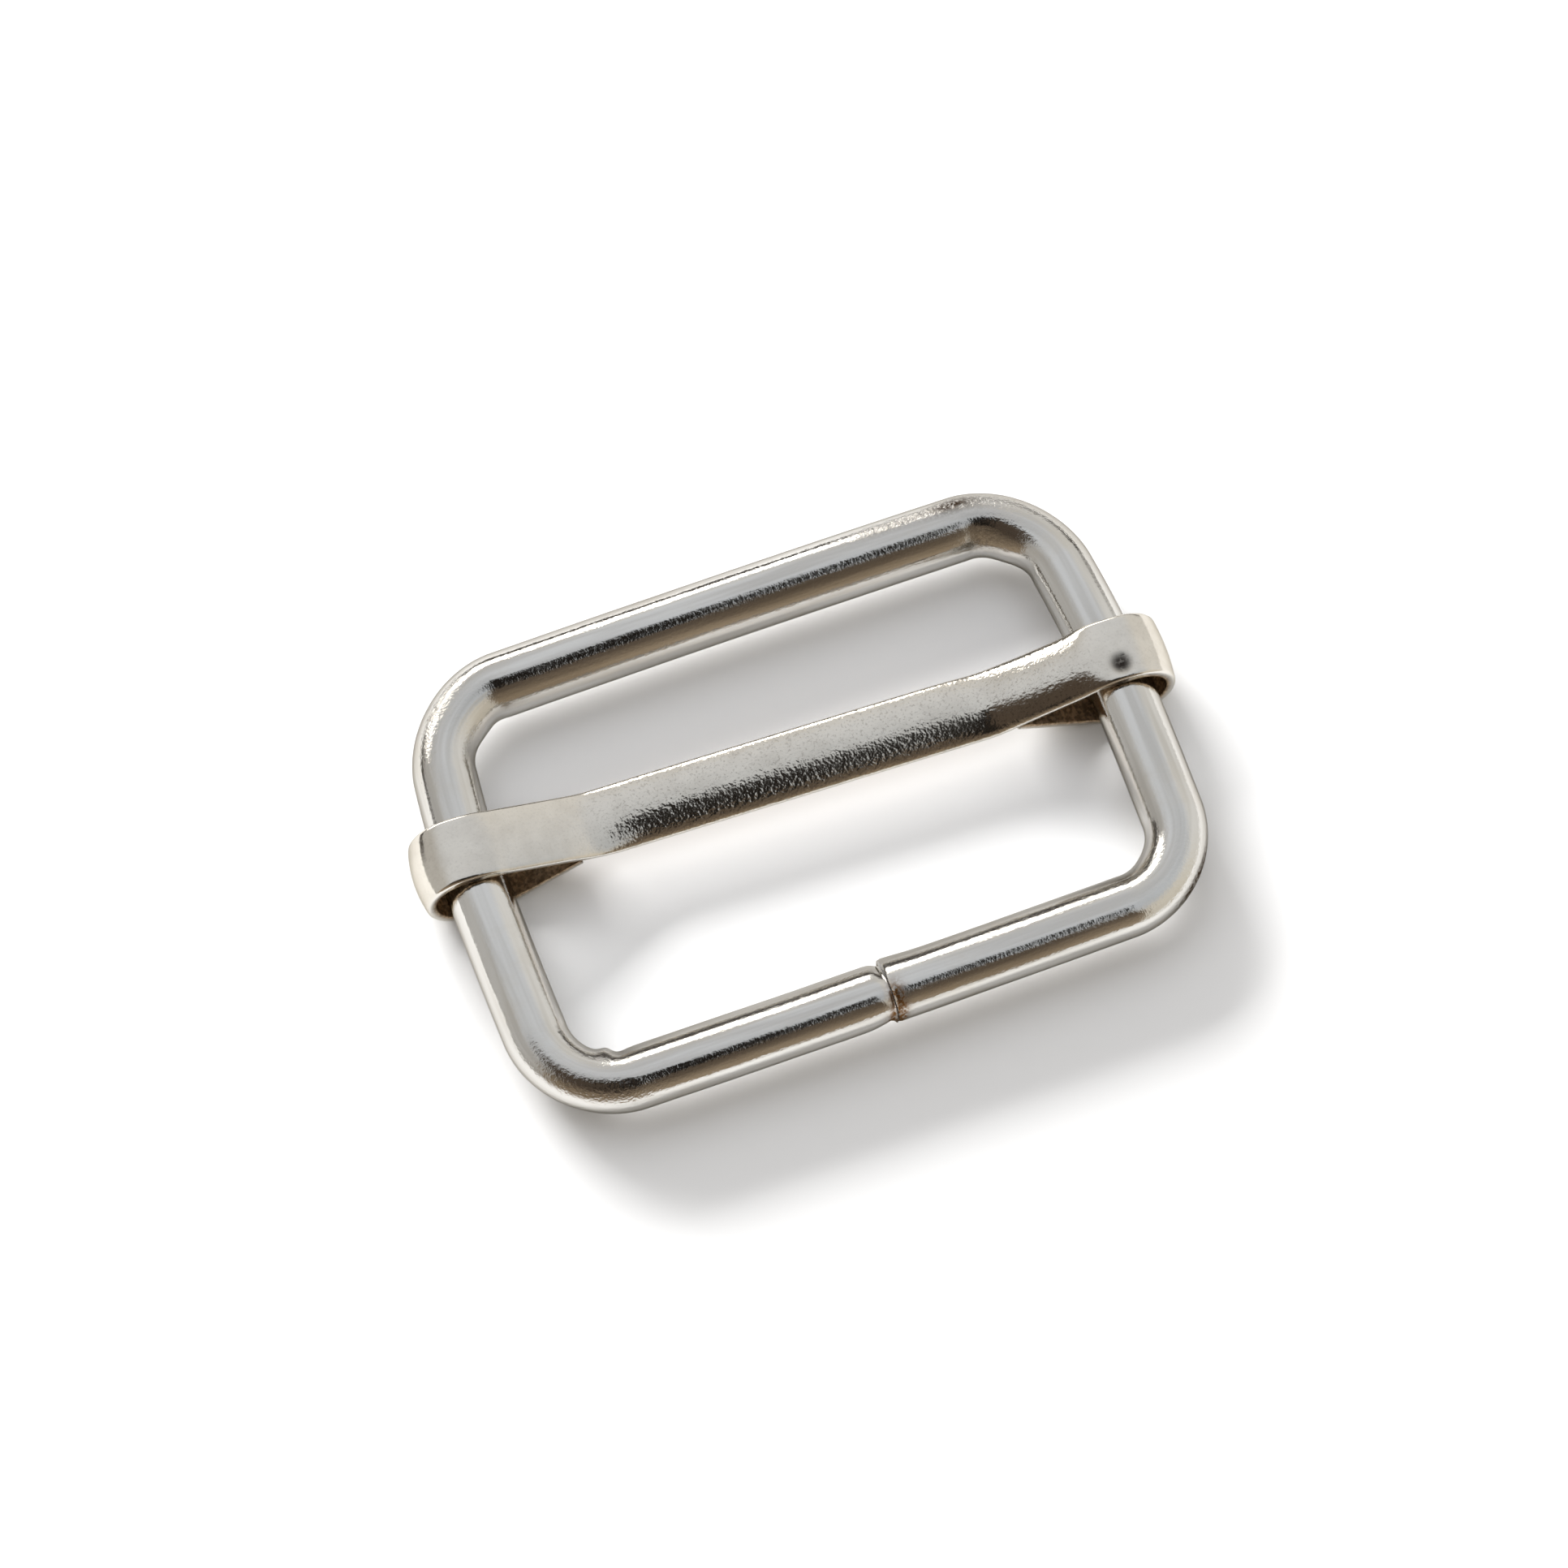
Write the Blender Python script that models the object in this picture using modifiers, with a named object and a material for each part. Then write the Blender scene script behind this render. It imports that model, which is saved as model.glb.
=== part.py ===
"""Metal slide buckle for a 30 mm strap.

A round wire is bent into a rectangular frame, butted in the middle of its front rail. A strip of
sheet metal crosses the frame as a bar: its middle is crowned and sunk between the rails, and its two
ends rise and wrap round the side rails, so that it slides along them.

Axes: +X across the strap, +Y to the back along the strap, +Z up. The origin is on the surface that
the buckle lies on, below the middle of the frame.
"""

import math

import bmesh
import bpy
from mathutils import Matrix, Vector

MM = 0.001

# Driving dimensions of the frame
STRAP_WIDTH = 30.0 * MM             # clear width between the side rails
WINDOW_DEPTH = 18.5 * MM            # clear depth between the front and back rails
WIRE_DIAMETER = 3.2 * MM
CORNER_RADIUS = 3.7 * MM            # of the wire's centreline
FRONT_LEAN = 0.25 * MM              # how far the side rails lean in at the front rail
BACK_LEAN = 1.0 * MM                # and at the back rail
RAIL_BOW = 0.12 * MM                # outward bow of the front and back rails
CORNER_THINNING = 0.05              # part of its diameter that the wire loses on a bend
SEAM_X = 0.2 * MM                   # where the two wire ends meet on the front rail
SEAM_GAP = 0.12 * MM
SEAM_CHAMFER = 0.2 * MM

# Driving dimensions of the bar
SHEET = 0.48 * MM                   # sheet thickness
CLEARANCE_ABOVE = 0.12 * MM         # between a loop and the wire's top
CLEARANCE_BELOW = 0.32 * MM         # and the wire's underside
LOOP_OFFSET = 0.55 * MM             # how far outboard of the rail a loop is centred
STRIP_HALF_WIDTH = 1.68 * MM
MIDDLE_SINK = 1.55 * MM             # how far the bar's middle lies below the loops' tops
MIDDLE_FOLD = math.radians(28.0)    # how far the crowned middle's edges turn down
MIDDLE_ROLL = math.radians(10.0)    # how far the middle is rolled to the front
WRAP_LEAN = math.radians(3.3)       # a loop's top lies this much further back than its underside
TAIL_FLAT_END = 15.6 * MM           # where a tail starts to rise from the surface
TAIL_TIP = 11.25 * MM
TAIL_RISE = 1.75 * MM
TAIL_TIP_HALF_WIDTH = 1.42 * MM

# The bar's place at rest: towards the back rail and slightly askew
BAR_REST_Y = 1.75 * MM
BAR_SKEW = math.radians(-2.1)

# Derived dimensions
WIRE_RADIUS = WIRE_DIAMETER / 2
HALF_WIDTH = STRAP_WIDTH / 2 + WIRE_RADIUS
HALF_DEPTH = WINDOW_DEPTH / 2 + WIRE_RADIUS - RAIL_BOW
LOOP_OUTER_RADIUS = WIRE_RADIUS + (CLEARANCE_ABOVE + CLEARANCE_BELOW) / 2 + SHEET
LOOP_MID_RADIUS = LOOP_OUTER_RADIUS - SHEET / 2
LOOP_X = HALF_WIDTH + LOOP_OFFSET
LOOP_Z = LOOP_OUTER_RADIUS          # the loops rest on the surface
RAIL_Z = LOOP_Z + (CLEARANCE_BELOW - CLEARANCE_ABOVE) / 2

# Mesh density
CORNER_STEPS = 9
LONG_RUN_STEPS = 8
SHORT_RUN_STEPS = 4
STRIP_STEPS_LONG = 124
STRIP_STEPS_ACROSS = 10
FOLD_STEPS = 12

# Where the sunk, crowned middle goes over into the flat loop, for each end: start and end of the
# rise, of the flattening and of the turn out of the roll, as distances from the bar's middle.
# The outboard fold is how far the edges turn in on the loop's outboard side.
LEFT_END = {
    "rise": (9.9 * MM, 16.3 * MM),
    "fold": (8.0 * MM, 12.3 * MM),
    "roll": (7.5 * MM, 12.4 * MM),
    "outboard_fold": math.radians(17.0),
}
RIGHT_END = {
    "rise": (9.5 * MM, 16.0 * MM),
    "fold": (14.0 * MM, 16.3 * MM),
    "roll": (7.0 * MM, 13.0 * MM),
    "outboard_fold": math.radians(9.0),
}
RISE_CORNER = 0.16                  # part of the rise that each of its rounded corners takes


def clear_scene():
    for item in list(bpy.data.objects):
        bpy.data.objects.remove(item, do_unlink=True)


def make_collection(name):
    collection = bpy.data.collections.new(name)
    bpy.context.scene.collection.children.link(collection)
    return collection


def make_metal(name, colour, roughness):
    material = bpy.data.materials.new(name)
    material.use_nodes = True
    shader = material.node_tree.nodes["Principled BSDF"]
    shader.inputs["Base Color"].default_value = (*colour, 1.0)
    shader.inputs["Metallic"].default_value = 1.0
    shader.inputs["Roughness"].default_value = roughness
    return material


def progress(value, start, end):
    """How far value is from start to end, held between 0 and 1."""
    return min(max((value - start) / (end - start), 0.0), 1.0)


def ease(fraction):
    """A smooth step: level at 0 and at 1."""
    return fraction * fraction * (3.0 - 2.0 * fraction)


def soft_ramp(fraction):
    """A straight ramp from 0 to 1, rounded off where it starts and where it ends."""
    slope = 1.0 / (1.0 - RISE_CORNER)
    if fraction < RISE_CORNER:
        return slope * fraction * fraction / (2.0 * RISE_CORNER)
    if fraction > 1.0 - RISE_CORNER:
        return 1.0 - slope * (1.0 - fraction) ** 2 / (2.0 * RISE_CORNER)
    return slope * (fraction - RISE_CORNER / 2.0)


def mix(first, second, fraction):
    return first + (second - first) * fraction


# The wire frame

def straight_run(start, end, steps):
    """Points from start to just before end."""
    return [start.lerp(end, i / steps) for i in range(steps)]


def corner_arc(centre, first_angle):
    """A quarter turn anticlockwise, from first_angle to just before its end."""
    points = []
    for i in range(CORNER_STEPS):
        angle = first_angle + math.radians(90.0) * i / CORNER_STEPS
        points.append(centre + CORNER_RADIUS * Vector((math.cos(angle), math.sin(angle))))
    return points


def rail_shape(point):
    """Leans the side rails in towards the corners and bows the long rails outwards."""
    along = point.y / HALF_DEPTH
    lean = (BACK_LEAN if along > 0.0 else FRONT_LEAN) * along * along
    across = point.x / HALF_WIDTH
    bow = RAIL_BOW * (1.0 - across * across)
    return Vector((point.x * (1.0 - lean / HALF_WIDTH), point.y + bow * along))


def frame_centreline():
    """Points round the frame, anticlockwise, from one side of the seam to the other."""
    corner_x = HALF_WIDTH - CORNER_RADIUS
    corner_y = HALF_DEPTH - CORNER_RADIUS
    seam_right = Vector((SEAM_X + SEAM_GAP / 2, -HALF_DEPTH))
    seam_left = Vector((SEAM_X - SEAM_GAP / 2, -HALF_DEPTH))
    chamfer = Vector((SEAM_CHAMFER, 0.0))
    points = [seam_right]
    points += straight_run(seam_right + chamfer, Vector((corner_x, -HALF_DEPTH)), LONG_RUN_STEPS)
    points += corner_arc(Vector((corner_x, -corner_y)), math.radians(-90.0))
    points += straight_run(
        Vector((HALF_WIDTH, -corner_y)), Vector((HALF_WIDTH, corner_y)), SHORT_RUN_STEPS)
    points += corner_arc(Vector((corner_x, corner_y)), 0.0)
    points += straight_run(
        Vector((corner_x, HALF_DEPTH)), Vector((-corner_x, HALF_DEPTH)), 2 * LONG_RUN_STEPS)
    points += corner_arc(Vector((-corner_x, corner_y)), math.radians(90.0))
    points += straight_run(
        Vector((-HALF_WIDTH, corner_y)), Vector((-HALF_WIDTH, -corner_y)), SHORT_RUN_STEPS)
    points += corner_arc(Vector((-corner_x, -corner_y)), math.radians(180.0))
    points += straight_run(Vector((-corner_x, -HALF_DEPTH)), seam_left - chamfer, LONG_RUN_STEPS)
    points += [seam_left - chamfer, seam_left]
    return points


def wire_thickness(point):
    """The wire's radius as a part of its full radius: less on a bend, most on its diagonal."""
    depth_x = abs(point.x) - (HALF_WIDTH - CORNER_RADIUS)
    depth_y = abs(point.y) - (HALF_DEPTH - CORNER_RADIUS)
    if depth_x <= 0.0 or depth_y <= 0.0:
        return 1.0
    turn = math.atan2(depth_y, depth_x)
    return 1.0 - CORNER_THINNING * math.sin(2.0 * turn)


def build_wire_frame(collection, material):
    centreline = frame_centreline()
    curve = bpy.data.curves.new("wire_frame", "CURVE")
    curve.dimensions = "3D"
    curve.bevel_depth = WIRE_RADIUS
    curve.bevel_resolution = 7
    curve.use_fill_caps = True
    spline = curve.splines.new("POLY")
    spline.points.add(len(centreline) - 1)
    for spline_point, flat_point in zip(spline.points, centreline):
        shaped = rail_shape(flat_point)
        spline_point.co = (shaped.x, shaped.y, 0.0, 1.0)
        spline_point.radius = wire_thickness(flat_point)
    chamfered = 1.0 - SEAM_CHAMFER / WIRE_RADIUS
    spline.points[0].radius = chamfered
    spline.points[-1].radius = chamfered
    curve.materials.append(material)
    frame = bpy.data.objects.new("wire_frame", curve)
    frame.location = (0.0, 0.0, RAIL_Z)
    collection.objects.link(frame)


# The sheet bar

def end_at(distance):
    return RIGHT_END if distance >= 0.0 else LEFT_END


def strip_centre(distance):
    """A point on the middle line of the strip, in the bar's own X and Z.

    The distance runs from the bar's middle, positive to the right: first across the top, then
    round the rail, then back below it to the tip of the tail.
    """
    side = 1.0 if distance >= 0.0 else -1.0
    reach = abs(distance)
    half_turn = math.pi * LOOP_MID_RADIUS
    if reach <= LOOP_X:
        lift = soft_ramp(progress(reach, *end_at(distance)["rise"]))
        return Vector((side * reach, LOOP_MID_RADIUS - MIDDLE_SINK * (1.0 - lift)))
    if reach <= LOOP_X + half_turn:
        turn = (reach - LOOP_X) / LOOP_MID_RADIUS
        outward = LOOP_X + LOOP_MID_RADIUS * math.sin(turn)
        return Vector((side * outward, LOOP_MID_RADIUS * math.cos(turn)))
    tail_x = LOOP_X - (reach - LOOP_X - half_turn)
    rise = TAIL_RISE * progress(tail_x, TAIL_FLAT_END, TAIL_TIP)
    return Vector((side * tail_x, rise - LOOP_MID_RADIUS))


def strip_half_width(distance):
    """Half the width of the flat strip at this distance: less towards the tip of a tail."""
    tail_x = 2.0 * LOOP_X + math.pi * LOOP_MID_RADIUS - abs(distance)
    return mix(STRIP_HALF_WIDTH, TAIL_TIP_HALF_WIDTH, progress(tail_x, TAIL_FLAT_END, TAIL_TIP))


def strip_fold(distance):
    """How far the strip's long edges are turned down at this distance."""
    end = end_at(distance)
    reach = abs(distance)
    flattened = ease(progress(reach, *end["fold"]))
    turn = math.pi * progress(reach, LOOP_X, LOOP_X + math.pi * LOOP_MID_RADIUS)
    return MIDDLE_FOLD * (1.0 - flattened) + end["outboard_fold"] * math.sin(turn) ** 2


def strip_roll(distance):
    """How far the strip is rolled to the front at this distance."""
    levelled = ease(progress(abs(distance), *end_at(distance)["roll"]))
    return MIDDLE_ROLL * (1.0 - levelled)


def section_point(across, half_width, fold, roll):
    """Place across and drop of a point on the curved section, by adding up small steps."""
    step = across * half_width / FOLD_STEPS
    sideways = 0.0
    drop = 0.0
    for i in range(FOLD_STEPS):
        tilt = fold * across * (i + 0.5) / FOLD_STEPS - roll
        sideways += step * math.cos(tilt)
        drop += step * math.sin(tilt)
    return sideways, drop


def strip_point(distance, across):
    """A point of the bent sheet's middle surface; across runs from -1 at the front edge to 1."""
    nudge = 0.01 * MM
    direction = strip_centre(distance + nudge) - strip_centre(distance - nudge)
    direction.normalize()
    centre = strip_centre(distance)
    sideways, drop = section_point(
        across, strip_half_width(distance), strip_fold(distance), strip_roll(distance))
    height = centre.y - drop * direction.x
    return Vector((
        centre.x + drop * direction.y,
        sideways + height * math.tan(WRAP_LEAN),
        height,
    ))


def build_slide_bar(collection, material):
    half_length = 2.0 * LOOP_X - TAIL_TIP + math.pi * LOOP_MID_RADIUS
    blank = bmesh.new()
    bmesh.ops.create_grid(
        blank, x_segments=STRIP_STEPS_LONG, y_segments=STRIP_STEPS_ACROSS, size=1.0)
    for vertex in blank.verts:
        vertex.co = strip_point(vertex.co.x * half_length, vertex.co.y)
    mesh = bpy.data.meshes.new("slide_bar")
    blank.to_mesh(mesh)
    blank.free()
    mesh.materials.append(material)
    mesh.shade_smooth()

    axis = bpy.data.objects.new("slide_axis", None)
    axis.empty_display_size = 5.0 * MM
    axis.matrix_world = (
        Matrix.Translation((0.0, BAR_REST_Y, LOOP_Z)) @ Matrix.Rotation(BAR_SKEW, 4, "Z"))
    collection.objects.link(axis)
    bar = bpy.data.objects.new("slide_bar", mesh)
    bar.parent = axis
    collection.objects.link(bar)

    thickness = bar.modifiers.new("sheet", "SOLIDIFY")
    thickness.thickness = SHEET
    thickness.offset = 0.0
    thickness.use_even_offset = True


def main():
    clear_scene()
    parts = make_collection("slide_buckle")
    polished_nickel = make_metal("polished_nickel", (0.62, 0.61, 0.58), 0.16)
    satin_nickel = make_metal("satin_nickel", (0.60, 0.58, 0.54), 0.34)
    build_wire_frame(parts, polished_nickel)
    build_slide_bar(parts, satin_nickel)


main()
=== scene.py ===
"""Looks for the slide buckle: the bent wire frame, the pressed sliding bar and a plain pale studio.

Both pieces are rebuilt finely over their CAD nodes, with the same driving dimensions. Lengths are
millimetres times MM. Axes are the part's own: +X across the strap, +Y to the back, +Z up.
"""

import math

import bpy
import numpy as np
from mathutils import Matrix, Vector


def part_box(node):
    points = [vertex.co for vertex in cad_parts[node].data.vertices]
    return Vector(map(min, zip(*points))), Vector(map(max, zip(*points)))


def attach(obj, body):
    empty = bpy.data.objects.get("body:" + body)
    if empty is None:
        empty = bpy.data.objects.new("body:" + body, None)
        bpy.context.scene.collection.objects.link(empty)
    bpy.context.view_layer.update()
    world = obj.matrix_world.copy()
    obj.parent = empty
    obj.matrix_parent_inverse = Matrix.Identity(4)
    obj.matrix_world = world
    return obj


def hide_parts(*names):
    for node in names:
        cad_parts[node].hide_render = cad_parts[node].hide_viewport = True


MM = 0.001

# Driving dimensions of the frame, as in the part
STRAP_WIDTH = 30.0 * MM
WINDOW_DEPTH = 18.5 * MM
WIRE_RADIUS = 1.6 * MM
CORNER_RADIUS = 3.7 * MM            # of the wire's centreline
FRONT_LEAN = 0.25 * MM              # how far the side rails lean in at the front rail
BACK_LEAN = 1.0 * MM                # and at the back rail
RAIL_BOW = 0.12 * MM                # outward bow of the front and back rails
CORNER_THINNING = 0.05              # part of its diameter that the wire loses on a bend
SEAM_X = 0.2 * MM                   # where the two wire ends meet on the front rail
HALF_WIDTH = STRAP_WIDTH / 2 + WIRE_RADIUS
HALF_DEPTH = WINDOW_DEPTH / 2 + WIRE_RADIUS - RAIL_BOW

# What only these finer pieces have: the frame
SEAM_GAP = 0.05 * MM                # nearly closed, and narrower than the part's
OUT_OF_ROUND = 0.046                # the long rails are thicker than round by this, high on the outside
LONG_RAIL_FADE = (0.75, 0.95)       # parts of the half depth: being out of round grows between these
WAVINESS = 0.006 * MM               # slow unevenness of the drawn wire
WAVE_ALONG = 2.3 * MM               # a radian of its waves along the wire,
WAVE_DRIFT = 5.1 * MM               # of their drift
WAVE_TWIST = 3.7 * MM               # and of their turn round the wire
INNER_STRETCH = 0.35                # how stretched a bend's inner side is, next to its outer side
STRETCH_SCUFF = 0.35                # how dull the stretched plating gets

# Driving dimensions of the bar, as in the part
SHEET = 0.48 * MM
PLAY = 0.44 * MM                    # the part's clearances above and below the wire, added up
LOOP_OFFSET = 0.55 * MM
STRIP_HALF_WIDTH = 1.68 * MM
MIDDLE_SINK = 1.55 * MM             # how far the bar's middle lies below the loops' tops
MIDDLE_FOLD = math.radians(28.0)    # how far the crowned middle's edges turn down
MIDDLE_ROLL = math.radians(10.0)    # how far the middle is rolled to the front
WRAP_LEAN = math.radians(3.3)       # a loop's top lies this much further back than its underside
TAIL_FLAT_END = 15.6 * MM
TAIL_TIP = 11.25 * MM
TAIL_RISE = 1.75 * MM
TAIL_TIP_HALF_WIDTH = 1.42 * MM
BAR_SKEW = math.radians(-2.1)
LOOP_OUTER_RADIUS = WIRE_RADIUS + PLAY / 2 + SHEET
LOOP_MID_RADIUS = LOOP_OUTER_RADIUS - SHEET / 2
LOOP_X = HALF_WIDTH + LOOP_OFFSET
STRIP_HALF_LENGTH = 2.0 * LOOP_X - TAIL_TIP + math.pi * LOOP_MID_RADIUS

# What only these finer pieces have: the bar
END_FOLD = math.radians(9.0)        # how far the edges turn down where the ends rise
END_FOLD_FADE = (15.0 * MM, 16.6 * MM)  # between these distances that fold goes out
EDGE_CURL = math.radians(18.0)      # how much further the middle turns down close to its edges
CURL_WIDTH = 0.45 * MM
UPPER_EDGE_RADIUS = 0.19 * MM
LOWER_EDGE_RADIUS = 0.05 * MM
EDGE_WEAR_WIDTH = 0.10 * MM         # how far in from an edge the plating is rubbed bright
SMOOTH_GRAIN = 0.25                 # the grain on the flat ends, next to 1 in the crowned middle

# Where the sunk, crowned middle goes over into the flat loop, for each end: start and end of the
# rise, of the flattening and of the turn out of the roll, as distances from the bar's middle.
# The outboard fold is how far the edges turn in on the loop's outboard side.
LEFT_END = {
    "rise": (9.9 * MM, 16.3 * MM),
    "fold": (8.0 * MM, 12.3 * MM),
    "roll": (7.5 * MM, 12.4 * MM),
    "outboard_fold": math.radians(17.0),
}
RIGHT_END = {
    "rise": (9.5 * MM, 16.0 * MM),
    "fold": (14.0 * MM, 16.3 * MM),
    "roll": (7.0 * MM, 13.0 * MM),
    "outboard_fold": math.radians(9.0),
}
RISE_CORNER = 0.16                  # part of the rise that each of its rounded corners takes

# A small dark dimple on top of the right end, at a distance along the strip and an offset across it
DIMPLE_DISTANCE = 16.70 * MM
DIMPLE_OFFSET = -0.80 * MM
DIMPLE_RADIUS = 0.52 * MM
DIMPLE_DEPTH = 0.10 * MM

# Mesh density
WIRE_STEP = 0.16 * MM
WIRE_SIDES = 72
STRIP_STEPS = 460
FLAT_STEPS = 22                     # across one face of the strip
EDGE_STEPS = 4                      # round one edge of the strip
FOLD_STEPS = 24

# The wire close to its two ends, at the seam. The right end is cut square and stands a little proud
# at the back. The left end was sheared: it is rolled over on its lower front, rounded at the back and
# the top, and ends in a burr. Angles round the section are 0 outward, 90 up, 180 inward. Reach is
# along the wire and swell is outward, both in millimetres; a higher power ends the feature sharper.
SEAM_FEATURES = [
    {"end": "right", "reach": 0.06, "power": 2.0, "swell": -0.05},
    {"end": "right", "angle": 172, "spread": 45, "reach": 1.3, "power": 2.0, "swell": 0.10},
    {"end": "left", "angle": -32, "spread": 42, "reach": 0.75, "power": 1.6, "swell": -0.34},
    {"end": "left", "angle": 130, "spread": 75, "reach": 0.30, "power": 1.7, "swell": -0.26},
    {"end": "left", "angle": -32, "spread": 42, "reach": 0.16, "power": 4.0, "swell": 0.36},
]

# Small traces of bending and handling on the wire. Each lies at a point of the flat centreline, in
# millimetres, and at an angle round the section. It has a length along the wire in millimetres and a
# spread round it in degrees. swell is in millimetres; scuff, dark colour and rust are weights, and
# their sums are held between 0 and 1. The dark colour is real staining on most marks; on the dents
# at the front-left and back-right bends it is a painted dark reflection.
WIRE_MARKS = [
    {"at": (-14.5, -10.4), "angle": 158, "length": 0.6, "spread": 24, "swell": 0.19},
    # Its dark colour is a painted dark reflection of the small dent beside the bump
    {"at": (-13.4, -10.7), "angle": 156, "length": 0.6, "spread": 20, "swell": -0.10, "darkening": 0.6},
    # Its dark colour is a painted dark reflection in the dent
    {"at": (13.9, 10.6), "angle": 142, "length": 1.3, "spread": 30, "swell": -0.12, "darkening": 0.45},
    {"at": (15.4, 9.8), "angle": 178, "length": 1.1, "spread": 40, "swell": 0.14},
    {"at": (16.3, 8.2), "angle": 180, "length": 0.8, "spread": 30, "swell": -0.05},
    {"at": (-15.3, 9.8), "angle": 190, "length": 1.1, "spread": 40, "swell": 0.09},
    {"at": (-13.9, 10.6), "angle": 185, "length": 0.8, "spread": 26, "swell": -0.06},
    {"at": (-16.3, 8.4), "angle": 145, "length": 1.3, "spread": 38, "swell": -0.04, "scuff": 0.3},
    {"at": (15.4, -9.7), "angle": 180, "length": 1.2, "spread": 40, "swell": 0.06},
    {"at": (9.4, 10.73), "angle": 62, "length": 2.6, "spread": 13, "scuff": 0.9, "darkening": 0.35},
    {"at": (12.8, 10.73), "angle": 62, "length": 1.3, "spread": 15, "swell": -0.02, "scuff": 1.0,
     "darkening": 1.0},
    {"at": (14.9, 10.1), "angle": 70, "length": 1.2, "spread": 26, "scuff": 0.5},
    {"at": (-15.6, 9.5), "angle": 60, "length": 1.3, "spread": 26, "scuff": 0.5},
    {"at": (15.5, -9.65), "angle": 13, "length": 1.1, "spread": 13, "swell": -0.03, "scuff": 1.0,
     "darkening": 1.8},
    {"at": (0.42, -10.73), "angle": 58, "length": 0.40, "spread": 24, "rust": 1.4},
    {"at": (0.34, -10.73), "angle": 20, "length": 0.32, "spread": 36, "rust": 1.5},
    {"at": (0.0, -10.73), "angle": 2, "length": 0.36, "spread": 26, "rust": 1.5},
    {"at": (-13.4, -10.7), "angle": 40, "length": 1.6, "spread": 30, "scuff": 0.5},
]

# Base colours, linear
BRIGHT_NICKEL = (0.72, 0.705, 0.67)
DULL_NICKEL = (0.58, 0.56, 0.52)
CLOUDED_NICKEL = (0.62, 0.58, 0.51)
# Dark colour of the wire's stains, also used for the painted dark reflections in two dents
WIRE_STAIN_AND_PAINTED_REFLECTION = (0.055, 0.035, 0.022)
RUST = (0.20, 0.10, 0.035)
WARM_NICKEL = (0.75, 0.71, 0.635)
GREY_NICKEL = (0.67, 0.63, 0.56)
SPECKLED_NICKEL = (0.34, 0.31, 0.27)
RUBBED_EDGE = (0.80, 0.78, 0.74)
# Tarnished inner face of the strip, under the middle and inside the loops and tails; its dark brown is
# partly painted shade
DARK_TARNISH_AND_PAINTED_SHADE = (0.30, 0.21, 0.13)
PALE_TARNISH_AND_PAINTED_SHADE = (0.62, 0.47, 0.32)
# Nearly black colour painted into the dimple
DIMPLE_DARKENING = (0.030, 0.024, 0.020)
BOARD_SHADES = ((0.79, 0.79, 0.79), (0.81, 0.81, 0.81))

# The studio that the metal mirrors, in linear colours. Each pair of the walls' goes from left to
# right, the overhead pair from the front to the back, and the dark room's from low to high.
WALL_COLOURS = ((0.56, 0.55, 0.535), (0.84, 0.83, 0.81))
FRONT_WALL_COLOURS = ((0.48, 0.44, 0.39), (0.76, 0.71, 0.62))
OVERHEAD_COLOURS = ((0.57, 0.60, 0.64), (0.78, 0.80, 0.84))
ROOM_COLOURS = ((0.36, 0.28, 0.195), (0.11, 0.084, 0.062))
SKIRTING_COLOUR = (0.09, 0.08, 0.073)
WINDOW_COLOUR = (4.0, 3.9, 3.75)

# Dark things in front of the buckle: azimuth and elevation of each in degrees, and the angles from
# there at which it begins and ends to fade out
ROOM_LOBE = (205.0, 25.0, 40.0, 48.0)
CAMERA_LOBE = (207.0, 66.0, 20.4, 22.3)
CAMERA_COLOUR = (0.016, 0.0135, 0.011)
SHOULDER_LOBE = (241.0, 60.0, 12.0, 23.0)
SHOULDER_COLOUR = (0.085, 0.064, 0.048)

# Soft lights: direction in degrees, distance, width and height in metres, and power in watts
SOFTBOXES = {
    "key_softbox": {
        "azimuth": -16.0, "elevation": 27.0, "distance": 0.6, "width": 0.32, "height": 0.17, "power": 6.2},
    "ceiling_panel": {
        "azimuth": -20.0, "elevation": 80.0, "distance": 0.8, "width": 1.0, "height": 1.0, "power": 2.7},
}
FLOOR_HALF_SIZE = 1.5

# The camera
CAMERA_AZIMUTH = 200.33             # in degrees, as direction_of takes them
CAMERA_ELEVATION = 68.5
CAMERA_LENS = 150.0                 # in millimetres, on the sensor below
CAMERA_SENSOR = 36.0
CLIP_RATIO = 20.0                   # the view starts this many times nearer and ends as much further
VIEW_WIDTH = 76.67 * MM             # what the picture spans at the frame's middle
VIEW_OFFSET = (1.04 * MM, 0.65 * MM)  # how far right of and below the picture's middle the frame lies


def progress(value, start, end):
    """How far value is from start to end, held between 0 and 1."""
    return min(max((value - start) / (end - start), 0.0), 1.0)


def ease(fraction):
    """A smooth step: level at 0 and at 1."""
    return fraction * fraction * (3.0 - 2.0 * fraction)


def mix(first, second, fraction):
    """The value at a fraction of the way from first to second."""
    return first + (second - first) * fraction


# Mesh helpers

def grid_faces(rows, columns):
    """Quads between rows of points, each row a closed ring of columns points."""
    faces = []
    for row in range(rows - 1):
        for column in range(columns):
            following = (column + 1) % columns
            faces.append((
                row * columns + column,
                row * columns + following,
                (row + 1) * columns + following,
                (row + 1) * columns + column,
            ))
    return faces


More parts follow.
